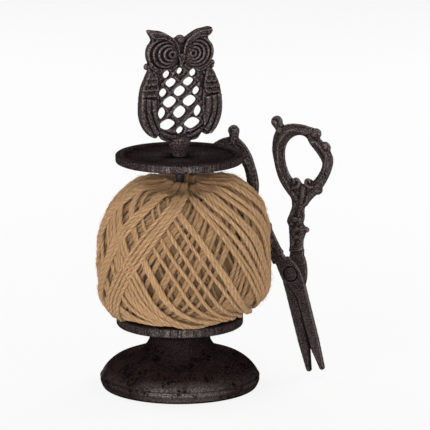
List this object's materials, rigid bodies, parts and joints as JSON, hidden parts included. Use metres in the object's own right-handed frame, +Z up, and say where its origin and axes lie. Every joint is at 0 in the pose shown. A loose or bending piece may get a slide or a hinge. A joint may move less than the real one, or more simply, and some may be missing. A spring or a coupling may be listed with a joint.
{
  "type": "string holder",
  "caption": "Cast-iron table twine holder: a bell foot and plate carry a ball of jute on a rod, under a dished disc with an openwork owl and hanging scissors.",
  "frame": {"origin": "centre of the foot's underside, on the rod's axis, where it stands on the table", "axes": "+Z up along the rod, -Y to the front that the owl faces, +X to the right where the scissors hang"},
  "size_m": [0.136, 0.1046, 0.2079],
  "materials": {
    "iron": "dark brown-black sand-cast, waxed",
    "steel": "dull oiled steel",
    "jute": "natural twisted jute, fuzzy"
  },
  "bodies": {
    "stand": {"base_foot": "iron", "lower_plate": "iron", "spindle_rod": "steel", "base_washer": "steel", "base_nut": "steel", "plate_nut": "steel", "disc_nut": "steel", "disc_washer": "steel"},
    "twine_ball": {"twine_core": "jute", "twine_winding": "jute"},
    "top_cap": {"top_disc": "iron", "scissor_hook": "iron"},
    "owl": {"owl_finial": "iron"},
    "scissors_front": {"front_scissor_half": "iron", "pivot_rivet": "iron", "rivet_washer": "iron"},
    "scissors_back": {"back_scissor_half": "iron"}
  },
  "joints": [
    {"name": "ball_spin", "type": "hinge", "parent": "stand", "child": "twine_ball", "pos_m": [0.003, 0, 0.08], "axis": [0, 0, 1], "continuous": true},
    {"name": "top_lift", "type": "slide", "parent": "stand", "child": "top_cap", "axis": [0, 0, 1], "range_m": [0, 0.04]},
    {"name": "owl_turn", "type": "hinge", "parent": "top_cap", "child": "owl", "pos_m": [0, 0, 0.1338], "axis": [0, 0, 1], "continuous": true},
    {"name": "scissors_lift_off", "type": "slide", "parent": "top_cap", "child": "scissors_front", "axis": [0.2988, 0.6409, 0.7071], "range_m": [0, 0.05]},
    {"name": "scissors_open", "type": "hinge", "parent": "scissors_front", "child": "scissors_back", "pos_m": [0.06486, 0.02693, 0.05902], "axis": [0.4226, 0.9063, 0], "range_deg": [-7.5, 40]}
  ]
}
